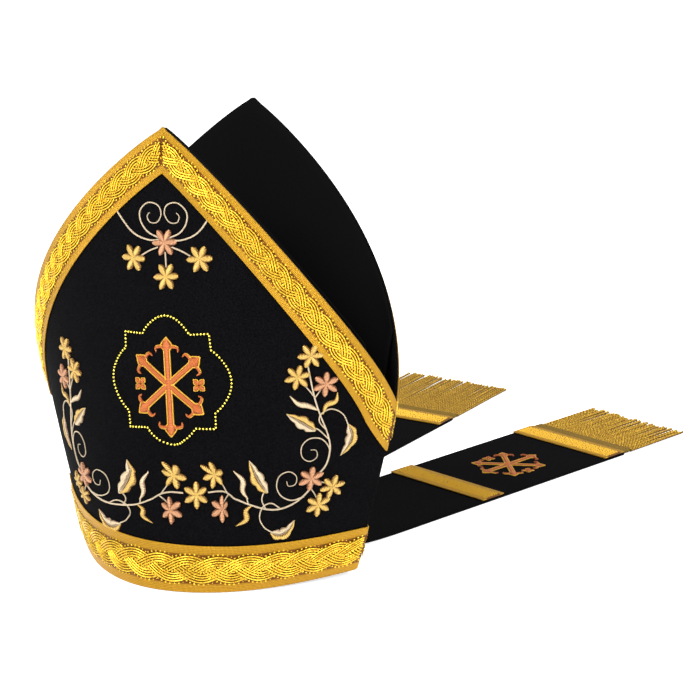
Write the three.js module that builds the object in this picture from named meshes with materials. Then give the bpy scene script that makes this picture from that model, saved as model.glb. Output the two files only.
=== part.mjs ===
// A bishop's mitre standing on its rim, with its two lappets laid out behind it.
//
// Millimetres, +Z up. The front panel faces -Y and the lappets run toward +Y.
// The crown is two stiffened velvet panels that meet at the side seams. Each panel carries a
// gold braid round its gable and another round its rim. A soft gusset spans the two gables.

import * as THREE from 'three';

// ---- Driving dimensions ----
const height = 300;            // rim to the tip of each gable
const seamHeight = 124.4;      // rim to the top of each side seam
const rimHalfWidth = 107.5;
const seamHalfWidth = 136.5;
const peakHalfWidth = 153.5;   // half width that the section would have at the tips
const rimHalfDepth = 82.7;
const seamHalfDepth = 69.5;
const peakHalfDepth = 56.6;
const rimRoundness = 2.15;     // section exponent: 2 is an ellipse, 1 is nearer a pointed leaf
const peakRoundness = 0.99;
const gableFullness = 1.6;     // how far the gable bulges before it closes on the tip
const gableClosing = 0.91;
const tipHalfWidth = 1.5;      // the tips are blunt
const rimFlatHalfWidth = 45;   // the rim rests here, front and back
const rimSideRise = 5.1;       // and lifts this far at the side seams

const panelThickness = 2.5;    // velvet over a stiff interlining
const pieceGap = 0.3;          // between sewn pieces
const seamGap = 0.15;          // from each panel's edge to the plane of the side seams
const braidWidth = 30.5;
const gableBraidWidth = 23.5;  // a narrower length of the same braid
const braidThickness = 1.2;
const bandFootHeight = 0.6;    // the rim braid stops this far above the rim
const gableBraidLift = 0.6;    // clearance of the gable braid over the faceted panel
const seamCutLength = 46;      // of the gable braid, along the side seam
const braidEndLength = 40;     // stretch over which the braid turns into its end cuts

const gussetThickness = 1;
const gussetInset = 4;         // from the panel's outer face to the gusset
const gussetHalfWidth = 124;
const valleyHeight = 112;      // lowest point of the gusset, between the seam tops

const lappetWidth = 90;
const lappetTopWidth = 70;
const lappetThickness = 2;
const lappetSewnHeight = 27;   // the lappet is sewn to the rim braid up to here
const lappetSettle = 52;       // run over which it comes down and flattens
const stripeWidth = 21.5;
const stripeThickness = 1;
const headingWidth = 10;
const headingThickness = 2.6;
const fringeThickness = 2.4;

// Where each lappet lies: the middle of its sewn top, its heading from +Y toward +X, and the
// distances along it from the sewn top to the first stripe, the second stripe and its end.
const lappets = [
  {
    name: 'lappet_right', topX: 44, startX: 45, startY: 80, headingDeg: 16.2,
    stripes: [107, 241], length: 263, fringe: 61.5,
  },
  {
    name: 'lappet_left', topX: -47, startX: -44, startY: 80, headingDeg: 2.3,
    stripes: [102, 236], length: 258, fringe: 83,
  },
];

// ---- The crown's surface ----
// Each quantity runs smoothly through its rim, seam and peak values.
function throughThree(z, atRim, atSeam, atPeak) {
  const rim = (z - seamHeight) * (z - height) / (seamHeight * height);
  const seam = z * (height - z) / (seamHeight * (height - seamHeight));
  const peak = z * (z - seamHeight) / (height * (height - seamHeight));
  return atRim * rim + atSeam * seam + atPeak * peak;
}

function halfWidthAt(z) {
  return throughThree(z, rimHalfWidth, seamHalfWidth, peakHalfWidth);
}

function halfDepthAt(z) {
  return throughThree(z, rimHalfDepth, seamHalfDepth, peakHalfDepth);
}

// A point of the outer face. turn is 0 at the middle of the panel and +-90 degrees at the
// side seams; side is -1 for the front panel and +1 for the back one.
function crownPoint(turn, z, side) {
  const roundness = rimRoundness + (peakRoundness - rimRoundness) * z / height;
  const depth = halfDepthAt(z) * Math.pow(Math.max(Math.cos(turn), 0), roundness);
  return new THREE.Vector3(halfWidthAt(z) * Math.sin(turn), side * depth, z);
}

function crownNormal(turn, z, side) {
  const step = 1e-3;
  const safeTurn = THREE.MathUtils.clamp(turn, -1.5, 1.5);
  const across = crownPoint(safeTurn + step, z, side).sub(crownPoint(safeTurn - step, z, side));
  const upward = crownPoint(safeTurn, z + step, side).sub(crownPoint(safeTurn, z - step, side));
  return across.cross(upward).multiplyScalar(-side).normalize();
}

// The turn at which a panel stops: just short of the side seam, or at the gable's edge.
function edgeTurn(z) {
  if (z <= seamHeight) {
    const roundness = rimRoundness + (peakRoundness - rimRoundness) * z / height;
    return Math.acos(Math.pow(seamGap / halfDepthAt(z), 1 / roundness));
  }
  const rise = (z - seamHeight) / (height - seamHeight);
  const opening = Math.pow(1 - Math.pow(rise, gableFullness), gableClosing);
  const edgeX = Math.max(seamHalfWidth * opening, tipHalfWidth);
  return Math.min(Math.asin(Math.min(edgeX / halfWidthAt(z), 1)), edgeTurn(seamHeight));
}

// How far the rim is lifted at a given half width.
function rimLift(x) {
  const beyond = Math.max(Math.abs(x) - rimFlatHalfWidth, 0) / (rimHalfWidth - rimFlatHalfWidth);
  return rimSideRise * beyond * beyond;
}

// ---- A closed sheet of cloth from a grid of surface points with their normals ----
// Each grid entry is { point, normal }. The sheet fills the room from the offset low to the
// offset high along the normals. keep, if given, corrects each corner after it is offset.
function sheetGeometry(grid, low, high, keep = (corner) => corner) {
  const rows = grid.length;
  const columns = grid[0].length;
  const positions = [];
  const indices = [];
  for (const offset of [high, low]) {
    for (const row of grid) {
      for (const entry of row) {
        const corner = keep(entry.point.clone().addScaledVector(entry.normal, offset));
        positions.push(corner.x, corner.y, corner.z);
      }
    }
  }
  const face = (a, b, c, d) => indices.push(a, b, c, a, c, d);
  const top = (row, column) => row * columns + column;
  const under = (row, column) => rows * columns + row * columns + column;
  for (let row = 0; row < rows - 1; row += 1) {
    for (let column = 0; column < columns - 1; column += 1) {
      face(top(row, column), top(row, column + 1), top(row + 1, column + 1), top(row + 1, column));
      face(under(row, column), under(row + 1, column), under(row + 1, column + 1), under(row, column + 1));
    }
  }
  for (let column = 0; column < columns - 1; column += 1) {
    face(top(0, column), under(0, column), under(0, column + 1), top(0, column + 1));
    const last = rows - 1;
    face(top(last, column), top(last, column + 1), under(last, column + 1), under(last, column));
  }
  for (let row = 0; row < rows - 1; row += 1) {
    face(top(row, 0), top(row + 1, 0), under(row + 1, 0), under(row, 0));
    const last = columns - 1;
    face(top(row, last), under(row, last), under(row + 1, last), top(row + 1, last));
  }
  const geometry = new THREE.BufferGeometry();
  geometry.setAttribute('position', new THREE.Float32BufferAttribute(positions, 3));
  // A grid whose rows run against its columns would be inside out.
  if (signedVolume(positions, indices) < 0) {
    indices.reverse();
  }
  geometry.setIndex(indices);
  geometry.computeVertexNormals();
  return geometry;
}

function signedVolume(positions, indices) {
  const corner = (index) => new THREE.Vector3().fromArray(positions, 3 * index);
  let volume = 0;
  for (let i = 0; i < indices.length; i += 3) {
    volume += corner(indices[i]).dot(corner(indices[i + 1]).cross(corner(indices[i + 2]))) / 6;
  }
  return volume;
}

// Even fractions from 0 to 1, or from -1 to 1.
function fractions(count) {
  return Array.from({ length: count + 1 }, (_, i) => i / count);
}

function signedFractions(count) {
  return fractions(count).map((f) => 2 * f - 1);
}

// ---- Materials ----
function clothMaterial(color, roughness, metalness = 0) {
  return new THREE.MeshStandardMaterial({ color, roughness, metalness });
}

const mitre = new THREE.Group();

function addPiece(name, geometry, material) {
  const mesh = new THREE.Mesh(geometry, material);
  mesh.name = name;
  mitre.add(mesh);
}

// Both panels are the same; the side's name and the sign of its Y.
const sides = [{ name: 'front', side: -1 }, { name: 'back', side: 1 }];

// ---- Panels: black velvet over a stiff interlining ----
const panelColumns = 30;
const panelHeights = [
  ...fractions(9).map((f) => f * seamHeight),
  ...fractions(14).slice(1).map((f) => seamHeight + f * (height - seamHeight)),
];

for (const { name, side } of sides) {
  const grid = panelHeights.map((z) => signedFractions(panelColumns).map((s) => {
    const turn = s * edgeTurn(z);
    const point = crownPoint(turn, z, side);
    point.z += rimLift(point.x) * Math.max(1 - z / seamHeight, 0);
    return { point, normal: crownNormal(turn, z, side) };
  }));
  const rimRow = grid[0];
  for (const entry of rimRow) {
    entry.normal.z = 0;
  }
  const keepOnSide = (corner) => {
    corner.y = side * Math.max(side * corner.y, seamGap);
    return corner;
  };
  const geometry = sheetGeometry(grid, -panelThickness, 0, keepOnSide);
  addPiece(`${name}_panel`, geometry, clothMaterial(0x0b0b0c, 0.95));
}

// ---- Rim braids ----
const braidMaterial = () => clothMaterial(0xd9a520, 0.38, 0.8);

for (const { name, side } of sides) {
  const grid = fractions(2).map((f) => signedFractions(panelColumns).map((s) => {
    const z = bandFootHeight + f * braidWidth;
    const turn = s * edgeTurn(z);
    const point = crownPoint(turn, z, side);
    point.z += rimLift(point.x) * (1 - z / seamHeight);
    return { point, normal: crownNormal(turn, z, side) };
  }));
  const geometry = sheetGeometry(grid, pieceGap, pieceGap + braidThickness);
  addPiece(`${name}_rim_braid`, geometry, braidMaterial());
}

// ---- Gable braids ----
// Steps over the crown from a start point in a given direction, staying on the outer face.
function walkOnCrown(turn, z, side, direction, distance) {
  const steps = 12;
  const probe = 1e-3;
  const steepestTurn = 1.53;
  const place = { turn: Math.min(turn, steepestTurn), z };
  for (let i = 0; i < steps; i += 1) {
    const here = crownPoint(place.turn, place.z, side);
    const perTurn = crownPoint(place.turn + probe, place.z, side).sub(here).divideScalar(probe);
    const perHeight = crownPoint(place.turn, place.z + probe, side).sub(here).divideScalar(probe);
    const aa = perTurn.dot(perTurn);
    const ab = perTurn.dot(perHeight);
    const bb = perHeight.dot(perHeight);
    const da = perTurn.dot(direction);
    const db = perHeight.dot(direction);
    const determinant = aa * bb - ab * ab;
    const turned = place.turn + (da * bb - db * ab) / determinant * distance / steps;
    place.turn = Math.min(turned, steepestTurn);
    place.z += (db * aa - da * ab) / determinant * distance / steps;
  }
  return place;
}

// The gable's edge from the right seam top to the tip, as points evenly spaced along it.
function gableEdge(side, count) {
  const fine = fractions(400).map((f) => {
    const z = seamHeight + f * (height - seamHeight);
    return { z, point: crownPoint(edgeTurn(z), z, side) };
  });
  const runs = [0];
  for (let i = 1; i < fine.length; i += 1) {
    runs.push(runs[i - 1] + fine[i].point.distanceTo(fine[i - 1].point));
  }
  const total = runs[runs.length - 1];
  return fractions(count).map((f) => {
    const index = Math.max(runs.findIndex((run) => run >= f * total), 1);
    const part = (f * total - runs[index - 1]) / (runs[index] - runs[index - 1]);
    const z = fine[index - 1].z + part * (fine[index].z - fine[index - 1].z);
    return { z, run: f * total, total };
  });
}

// One rib across the braid, from the gable's edge inward, with the given number of steps.
function braidRib(spot, side, steps) {
  const turn = Math.max(edgeTurn(spot.z), 1e-4);
  const probe = 3;
  const low = THREE.MathUtils.clamp(spot.z - probe, seamHeight + 1, height - 3 * probe);
  const high = low + 2 * probe;
  const along = crownPoint(edgeTurn(high), high, side).sub(crownPoint(edgeTurn(low), low, side)).normalize();
  const normal = crownNormal(turn, spot.z, side);
  const inward = normal.clone().cross(along).multiplyScalar(-side);
  const down = new THREE.Vector3(0, 0, -1).addScaledVector(normal, normal.z).normalize();
  const nearSeam = Math.max(1 - spot.run / braidEndLength, 0);
  const nearTip = Math.max(1 - (spot.total - spot.run) / braidEndLength, 0);
  const bend = Math.max(nearSeam, nearTip);
  const direction = inward.clone().lerp(down, bend).normalize();
  const slant = gableBraidWidth / direction.dot(inward);
  const distance = THREE.MathUtils.lerp(slant, Math.min(slant, seamCutLength), nearSeam);
  return fractions(steps).map((f) => {
    const place = walkOnCrown(turn, spot.z, side, direction, f * distance);
    const limit = place.z < seamHeight ? edgeTurn(place.z) : Math.PI / 2;
    const placed = THREE.MathUtils.clamp(place.turn, 0, limit);
    return { point: crownPoint(placed, place.z, side), normal: crownNormal(placed, place.z, side) };
  });
}

function mirroredRib(rib) {
  return rib.map(({ point, normal }) => ({
    point: new THREE.Vector3(-point.x, point.y, point.z),
    normal: new THREE.Vector3(-normal.x, normal.y, normal.z),
  }));
}

for (const { name, side } of sides) {
  const right = gableEdge(side, 22).map((spot) => braidRib(spot, side, 3));
  const left = right.slice(0, -1).map(mirroredRib).reverse();
  const grid = [...right, ...left];
  const keepOnSide = (corner) => {
    corner.y = side * Math.max(side * corner.y, seamGap);
    return corner;
  };
  const geometry = sheetGeometry(grid, gableBraidLift, gableBraidLift + braidThickness, keepOnSide);
  addPiece(`${name}_gable_braid`, geometry, braidMaterial());
}

// ---- Gusset: one satin half behind each gable, meeting in a valley between the seams ----
function gableHeightAt(x) {
  const shut = Math.pow(Math.min(Math.abs(x) / seamHalfWidth, 1), 1 / gableClosing);
  return seamHeight + (height - seamHeight) * Math.pow(1 - shut, 1 / gableFullness);
}

for (const { name, side } of sides) {
  const columns = signedFractions(24).map((s) => {
    const x = s * gussetHalfWidth;
    const z = gableHeightAt(x);
    const turn = Math.asin(Math.min(x / halfWidthAt(z), 0.999));
    const face = crownPoint(turn, z, side);
    const slantedInset = gussetInset / Math.abs(crownNormal(turn, z, side).y);
    const top = new THREE.Vector3(x, side * Math.max(side * face.y - slantedInset, 1.5), z - pieceGap);
    const sag = (seamHeight - valleyHeight) * (1 - (x / seamHalfWidth) ** 2);
    const foot = new THREE.Vector3(x, side * (gussetThickness + pieceGap), seamHeight - 8 - sag);
    return { top, foot };
  });
  const rows = fractions(4).map((f) => columns.map(({ top, foot }) => top.clone().lerp(foot, f)));
  const grid = rows.map((row, r) => row.map((point, c) => {
    const nextColumn = row[Math.min(c + 1, row.length - 1)];
    const lastColumn = row[Math.max(c - 1, 0)];
    const down = rows[rows.length - 1][c].clone().sub(rows[0][c]);
    const across = nextColumn.clone().sub(lastColumn);
    const normal = across.cross(down).normalize();
    normal.multiplyScalar(Math.sign(normal.y) * side || 1);
    return { point, normal };
  }));
  const keepOnSide = (corner) => {
    corner.y = side * Math.max(side * corner.y, seamGap);
    return corner;
  };
  const geometry = sheetGeometry(grid, -gussetThickness / 2, gussetThickness / 2, keepOnSide);
  addPiece(`${name}_gusset`, geometry, clothMaterial(0x0e0e0f, 0.55));
}

// ---- Lappets with their stripes, headings and fringes ----
// A rectangular slab lying along a lappet, from one distance to another and between two heights.
function addSlab(name, lappet, from, to, bottom, thickness, material) {
  const geometry = new THREE.BoxGeometry(lappetWidth, to - from, thickness);
  const heading = THREE.MathUtils.degToRad(lappet.headingDeg);
  geometry.translate(0, (from + to) / 2, bottom + thickness / 2);
  geometry.rotateZ(-heading);
  geometry.translate(lappet.startX, lappet.startY, 0);
  addPiece(name, geometry, material);
}

for (const lappet of lappets) {
  const heading = THREE.MathUtils.degToRad(lappet.headingDeg);
  const along = new THREE.Vector3(Math.sin(heading), Math.cos(heading), 0);
  const across = new THREE.Vector3(Math.cos(heading), -Math.sin(heading), 0);
  const start = new THREE.Vector3(lappet.startX, lappet.startY, lappetThickness / 2);
  const clearance = pieceGap + braidThickness + 2 * pieceGap + lappetThickness / 2;

  // From the sewn top, down the rim braid, and out onto the surface.
  const column = (s) => {
    const topX = lappet.topX + s * lappetTopWidth / 2;
    const onWall = (z) => {
      const turn = Math.asin(topX / halfWidthAt(z));
      return crownPoint(turn, z, 1).addScaledVector(crownNormal(turn, z, 1), clearance);
    };
    const edge = start.clone().addScaledVector(across, s * lappetWidth / 2);
    const landing = edge.clone().addScaledVector(along, lappetSettle);
    const sewn = onWall(lappetSewnHeight);
    const low = onWall(8);
    const settle = new THREE.CubicBezierCurve3(
      low,
      low.clone().add(low.clone().sub(sewn).multiplyScalar(0.45)).setZ(lappetThickness / 2),
      landing.clone().addScaledVector(along, -lappetSettle * 0.6),
      landing,
    );
    const end = edge.clone().addScaledVector(along, lappet.length);
    return [sewn, low, ...settle.getPoints(8).slice(1), landing.clone().lerp(end, 0.5), end];
  };
  const columns = signedFractions(8).map(column);
  const count = columns[0].length;
  const grid = columns.map((points, c) => points.map((point, r) => {
    const forward = points[Math.min(r + 1, count - 1)].clone().sub(points[Math.max(r - 1, 0)]);
    const beside = columns[Math.min(c + 1, 8)][r].clone().sub(columns[Math.max(c - 1, 0)][r]);
    const normal = beside.cross(forward).normalize();
    return { point, normal };
  }));
  const keepOnFloor = (corner) => corner.setZ(Math.max(corner.z, 0));
  const half = lappetThickness / 2;
  const geometry = sheetGeometry(grid, -half, half, keepOnFloor);
  addPiece(lappet.name, geometry, clothMaterial(0x0b0b0c, 0.95));

  lappet.stripes.forEach((from, i) => {
    const bottom = lappetThickness + pieceGap;
    const name = `${lappet.name}_stripe_${i + 1}`;
    addSlab(name, lappet, from, from + stripeWidth, bottom, stripeThickness, braidMaterial());
  });
  const headingFrom = lappet.length + pieceGap;
  const fringeFrom = headingFrom + headingWidth + pieceGap;
  const headingMaterial = clothMaterial(0x9a7c22, 0.5, 0.6);
  const headingTo = headingFrom + headingWidth;
  const fringeTo = fringeFrom + lappet.fringe;
  const headingName = `${lappet.name}_fringe_heading`;
  addSlab(headingName, lappet, headingFrom, headingTo, 0, headingThickness, headingMaterial);
  addSlab(`${lappet.name}_fringe`, lappet, fringeFrom, fringeTo, 0, fringeThickness, braidMaterial());
}

// ---- The origin: the middle of the whole outline, on the surface that it stands on ----
const outline = new THREE.Box3().setFromObject(mitre);
const middle = outline.getCenter(new THREE.Vector3());
mitre.position.set(-middle.x, -middle.y, -outline.min.z);
mitre.updateMatrixWorld(true);

export default mitre;
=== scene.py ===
# A bishop's mitre of black velvet, bordered with gold braid and worked with gold flowers,
# standing on its rim with its two fringed lappets laid out behind it.

import math

import bmesh
import bpy
import numpy as np
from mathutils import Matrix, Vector


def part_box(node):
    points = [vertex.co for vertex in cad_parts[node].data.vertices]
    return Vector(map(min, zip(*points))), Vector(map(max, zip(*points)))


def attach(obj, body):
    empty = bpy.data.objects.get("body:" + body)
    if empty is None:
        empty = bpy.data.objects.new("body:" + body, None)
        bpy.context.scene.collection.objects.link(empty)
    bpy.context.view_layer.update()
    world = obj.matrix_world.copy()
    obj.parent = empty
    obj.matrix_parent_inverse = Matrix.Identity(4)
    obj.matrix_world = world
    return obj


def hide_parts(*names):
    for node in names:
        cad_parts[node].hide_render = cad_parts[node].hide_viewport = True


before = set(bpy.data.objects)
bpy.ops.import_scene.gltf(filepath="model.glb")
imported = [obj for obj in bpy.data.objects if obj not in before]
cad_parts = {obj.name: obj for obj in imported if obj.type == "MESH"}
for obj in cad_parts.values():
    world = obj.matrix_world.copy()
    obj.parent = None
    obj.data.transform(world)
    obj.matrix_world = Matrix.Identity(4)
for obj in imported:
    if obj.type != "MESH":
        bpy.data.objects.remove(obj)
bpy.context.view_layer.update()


# ---- Camera, floor and studio light ----
# The mitre's own axis is the upright line midway between its two side seams. Every size below
# is in millimetres from that axis and from the surface that the mitre stands on.
MM = 0.001
front_low, front_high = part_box("front_panel")
back_low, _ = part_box("back_panel")
axis_place = np.array([(front_low[0] + front_high[0]) / 2, (front_high[1] + back_low[1]) / 2, 0.0])


def metres(points):
    return np.asarray(points, float) * MM + axis_place


view_azimuth = math.radians(28.4)
view_elevation = math.radians(16.1)
view_distance = 1970
view_target = np.array([54.1, 90.8, 124.7])
toward_camera = np.array([
    math.sin(view_azimuth) * math.cos(view_elevation),
    -math.cos(view_azimuth) * math.cos(view_elevation),
    math.sin(view_elevation),
])
camera_data = bpy.data.cameras.new("studio_camera")
camera_data.lens = 148.6
camera = bpy.data.objects.new("studio_camera", camera_data)
camera.location = Vector(metres(view_target + toward_camera * view_distance))
camera.rotation_mode = "QUATERNION"
camera.rotation_quaternion = Vector(-toward_camera).to_track_quat("-Z", "Y")
bpy.context.scene.collection.objects.link(camera)
bpy.context.scene.camera = camera
# Colours are shown as they are, so that gold stays yellow in its highlights.
bpy.context.scene.view_settings.view_transform = "Standard"


def linear(hex_colour):
    """An sRGB hex colour as linear light, with full opacity."""
    channels = [int(hex_colour[i:i + 2], 16) / 255 for i in (1, 3, 5)]
    light = [c / 12.92 if c <= 0.04045 else ((c + 0.055) / 1.055) ** 2.4 for c in channels]
    return (*light, 1.0)


def add_node(tree, kind, settings=None, inputs=None, links=None):
    """Adds a shader node. settings are its properties, inputs its socket values, and links
    its sockets with the output that feeds each."""
    node = tree.nodes.new(kind)
    for name, value in (settings or {}).items():
        setattr(node, name, value)
    for name, value in (inputs or {}).items():
        node.inputs[name].default_value = value
    for name, source in (links or {}).items():
        tree.links.new(source, node.inputs[name])
    return node


def new_material(name, **shader_values):
    """A material with one Principled shader. Returns it with its tree and its shader."""
    material = bpy.data.materials.new(name)
    material.use_nodes = True
    tree = material.node_tree
    shader = tree.nodes["Principled BSDF"]
    for socket, value in shader_values.items():
        shader.inputs[socket.replace("_", " ")].default_value = value
    return material, tree, shader


# Matt white paper sweep: nearly white and without gloss, so the black cloth stands out.
paper, _, paper_shader = new_material("matt_paper_sweep", Roughness=0.9)
paper_shader.inputs["Base Color"].default_value = linear("#F4F4F3")
paper_shader.inputs["Emission Color"].default_value = linear("#FFFFFF")
paper_shader.inputs["Emission Strength"].default_value = 0.75
paper_size, paper_drop = 14, 0.0004
bpy.ops.mesh.primitive_plane_add(size=paper_size, location=(0, 0, -paper_drop))
floor = bpy.context.object
floor.name = "paper_floor"
floor.data.materials.append(paper)

world = bpy.data.worlds.new("soft_room")
bpy.context.scene.world = world
world.use_nodes = True
world.node_tree.nodes["Background"].inputs["Color"].default_value = linear("#FFFFFF")
world.node_tree.nodes["Background"].inputs["Strength"].default_value = 0.42


light_target = (0, 40, 120)


def add_softbox(name, azimuth, elevation, distance, size, watts):
    """A square area light aimed at the middle of the mitre."""
    light_data = bpy.data.lights.new(name, "AREA")
    light_data.size = size
    light_data.energy = watts
    light = bpy.data.objects.new(name, light_data)
    turn, rise = math.radians(azimuth), math.radians(elevation)
    away = Vector((math.sin(turn) * math.cos(rise), -math.cos(turn) * math.cos(rise), math.sin(rise)))
    light.location = Vector(metres(light_target)) + away * distance
    light.rotation_mode = "QUATERNION"
    light.rotation_quaternion = (-away).to_track_quat("-Z", "Y")
    bpy.context.scene.collection.objects.link(light)


add_softbox("key_softbox", azimuth=-18, elevation=48, distance=1.5, size=0.7, watts=27)
add_softbox("side_softbox", azimuth=78, elevation=30, distance=1.6, size=0.6, watts=14)
add_softbox("back_softbox", azimuth=165, elevation=50, distance=1.6, size=0.9, watts=14)


# ---- Crown panels ----
# Two curved panels of black cotton velvet over a stiff interlining, front and back alike.
# They are sewn edge to edge up the side seams and stand free above them as two gables.
height = 300
seam_height = 124.4
rim_half_width, seam_half_width, peak_half_width = 107.5, 136.5, 153.5
rim_half_depth, seam_half_depth, peak_half_depth = 82.7, 69.5, 56.6
rim_roundness, peak_roundness = 2.15, 0.99
gable_fullness, gable_closing = 1.6, 0.91
tip_half_width = 1.5
rim_flat_half_width = 45
rim_side_rise = 5.1
panel_thickness = 2.5
seam_gap = 0.15
# The turn, in radians, past which a panel is too nearly edge on to be worked out.
last_turn, last_normal_turn = 1.5455, 1.5
rows_below_seam, rows_above_seam, columns_across = 40, 60, 97
edge_bulge = 0.6
FRONT, BACK = -1, 1


def through_three(z, at_rim, at_seam, at_peak):
    """A size that runs smoothly through its values at the rim, the seam top and the peak."""
    rim = (z - seam_height) * (z - height) / (seam_height * height)
    seam = z * (height - z) / (seam_height * (height - seam_height))
    peak = z * (z - seam_height) / (height * (height - seam_height))
    return at_rim * rim + at_seam * seam + at_peak * peak


def half_width(z):
    return through_three(z, rim_half_width, seam_half_width, peak_half_width)


def half_depth(z):
    return through_three(z, rim_half_depth, seam_half_depth, peak_half_depth)


def roundness(z):
    return rim_roundness + (peak_roundness - rim_roundness) * z / height


def crown_points(turn, z, side):
    """Points of the crown's outer face. turn is 0 at mid panel and a right angle at a seam."""
    depth = half_depth(z) * np.clip(np.cos(turn), 0, None) ** roundness(z)
    return np.stack([half_width(z) * np.sin(turn), side * depth, z + 0 * turn], -1)


def crown_normals(turn, z, side):
    safe = np.clip(turn, -last_normal_turn, last_normal_turn)
    step = 1e-3
    across = crown_points(safe + step, z, side) - crown_points(safe - step, z, side)
    upward = crown_points(safe, z + step, side) - crown_points(safe, z - step, side)
    normals = -side * np.cross(across, upward)
    return normals / np.linalg.norm(normals, axis=-1, keepdims=True)


def edge_turn(z):
    """Where a panel ends: just short of the side seam, or at the gable's edge above it."""
    at_seam = np.arccos((seam_gap / half_depth(z)) ** (1 / roundness(z)))
    rise = np.clip((z - seam_height) / (height - seam_height), 0, 1)
    edge_x = np.maximum(seam_half_width * (1 - rise ** gable_fullness) ** gable_closing, tip_half_width)
    at_gable = np.arcsin(np.clip(edge_x / half_width(z), 0, 1))
    return np.where(z <= seam_height, at_seam, np.minimum(at_gable, last_turn))


def rim_lift(x, z):
    """The rim rises a little toward the side seams, and the rows above it follow."""
    beyond = np.clip(np.abs(x) - rim_flat_half_width, 0, None) / (rim_half_width - rim_flat_half_width)
    return rim_side_rise * beyond ** 2 * np.clip(1 - z / seam_height, 0, None)


def make_mesh(name, points, faces, material, smooth=True):
    """A new piece on the object's one body, from points in metres."""
    mesh = bpy.data.meshes.new(name)
    mesh.from_pydata([tuple(p) for p in points], [], faces)
    mesh.validate()
    shell_mesh = bmesh.new()
    shell_mesh.from_mesh(mesh)
    bmesh.ops.recalc_face_normals(shell_mesh, faces=shell_mesh.faces)
    shell_mesh.to_mesh(mesh)
    shell_mesh.free()
    if smooth:
        mesh.shade_smooth()
    mesh.materials.append(material)
    piece = bpy.data.objects.new(name, mesh)
    bpy.context.scene.collection.objects.link(piece)
    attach(piece, "root")
    return piece


def grid_faces(rows, columns, first=0, flip=False):
    corner = first + np.arange(rows * columns).reshape(rows, columns)
    quads = np.stack([corner[:-1, :-1], corner[:-1, 1:], corner[1:, 1:], corner[1:, :-1]], -1).reshape(-1, 4)
    return quads[:, ::-1] if flip else quads


def edge_ring(rows, columns):
    """The rows and columns of a grid's outer points, in order round it."""
    ring = [(0, c) for c in range(columns)] + [(r, columns - 1) for r in range(1, rows)]
    ring += [(rows - 1, c) for c in range(columns - 2, -1, -1)] + [(r, 0) for r in range(rows - 2, 0, -1)]
    return np.array(ring).T


def cloth_shell(points, normals, low, high, edge_steps=3):
    """A closed sheet of cloth with rounded edges, from a grid of points with their normals.
    It fills the room from the offset low to the offset high along the normals."""
    middle, half = (low + high) / 2, (high - low) / 2
    rows, columns = points.shape[:2]
    core = points + normals * middle
    top = core + normals * half
    under = core - normals * half
    ring_rows, ring_columns = edge_ring(rows, columns)
    inner_rows = np.clip(ring_rows, 1, rows - 2)
    inner_columns = np.clip(ring_columns, 1, columns - 2)
    outward = core[ring_rows, ring_columns] - core[inner_rows, inner_columns]
    ring_normals = normals[ring_rows, ring_columns]
    outward -= (outward * ring_normals).sum(-1, keepdims=True) * ring_normals
    outward /= np.linalg.norm(outward, axis=-1, keepdims=True)
    edge = core[ring_rows, ring_columns]
    all_points = [top.reshape(-1, 3), under.reshape(-1, 3)]
    count = rows * columns
    loops = [ring_rows * columns + ring_columns]
    for step in range(1, edge_steps + 1):
        angle = math.pi * step / (edge_steps + 1)
        bulge = outward * math.sin(angle) * min(half, edge_bulge) + ring_normals * math.cos(angle) * half
        all_points.append(edge + bulge)
        loops.append(2 * count + (step - 1) * len(ring_rows) + np.arange(len(ring_rows)))
    loops.append(count + ring_rows * columns + ring_columns)
    faces = [grid_faces(rows, columns), grid_faces(rows, columns, count, flip=True)]
    for upper, lower in zip(loops[:-1], loops[1:]):
        faces.append(np.stack([upper, lower, np.roll(lower, -1), np.roll(upper, -1)], -1))
    return np.concatenate(all_points), np.concatenate(faces)


def add_grain(tree, scale, detail):
    """Fine noise that stays on the piece."""
    place = add_node(tree, "ShaderNodeTexCoord")
    grain = add_node(tree, "ShaderNodeTexNoise", inputs={"Scale": scale, "Detail": detail},
                     links={"Vector": place.outputs["Object"]})
    return grain.outputs["Fac"]


def add_ramp(tree, factor, low, dark, high, light):
    """A colour that goes from dark to light while a factor goes from low to high."""
    ramp = add_node(tree, "ShaderNodeValToRGB", links={"Fac": factor})
    ends = ramp.color_ramp.elements
    ends[0].position, ends[1].position = low, high
    ends[0].color, ends[1].color = linear(dark), linear(light)
    return ramp.outputs["Color"]


def add_bump(tree, shader, height, strength, distance):
    """Relief on a material, from a height between 0 and 1 and a depth in metres."""
    bump = add_node(tree, "ShaderNodeBump", inputs={"Strength": strength, "Distance": distance},
                    links={"Height": height})
    tree.links.new(bump.outputs["Normal"], shader.inputs["Normal"])


# Cotton velvet, cut pile, dyed black. The pile stands up from the ground cloth and swallows
# the light, so it reads as a deep matt black with a faint lighter bloom where it is seen edge on.
velvet, velvet_tree, velvet_shader = new_material(
    "cut_pile_velvet_dyed_black", Roughness=1.0, IOR=1.45, Specular_IOR_Level=0.05,
    Sheen_Weight=0.015, Sheen_Roughness=0.45,
)
velvet_shader.inputs["Sheen Tint"].default_value = linear("#8A8A90")
# Pile tufts of about 0.5 mm, drawn at 0.9 mm so that they show.
tufts = add_grain(velvet_tree, 1100.0, 3.0)
tuft_colour = add_ramp(velvet_tree, tufts, 0.35, "#020203", 0.72, "#0C0C0E")
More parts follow.
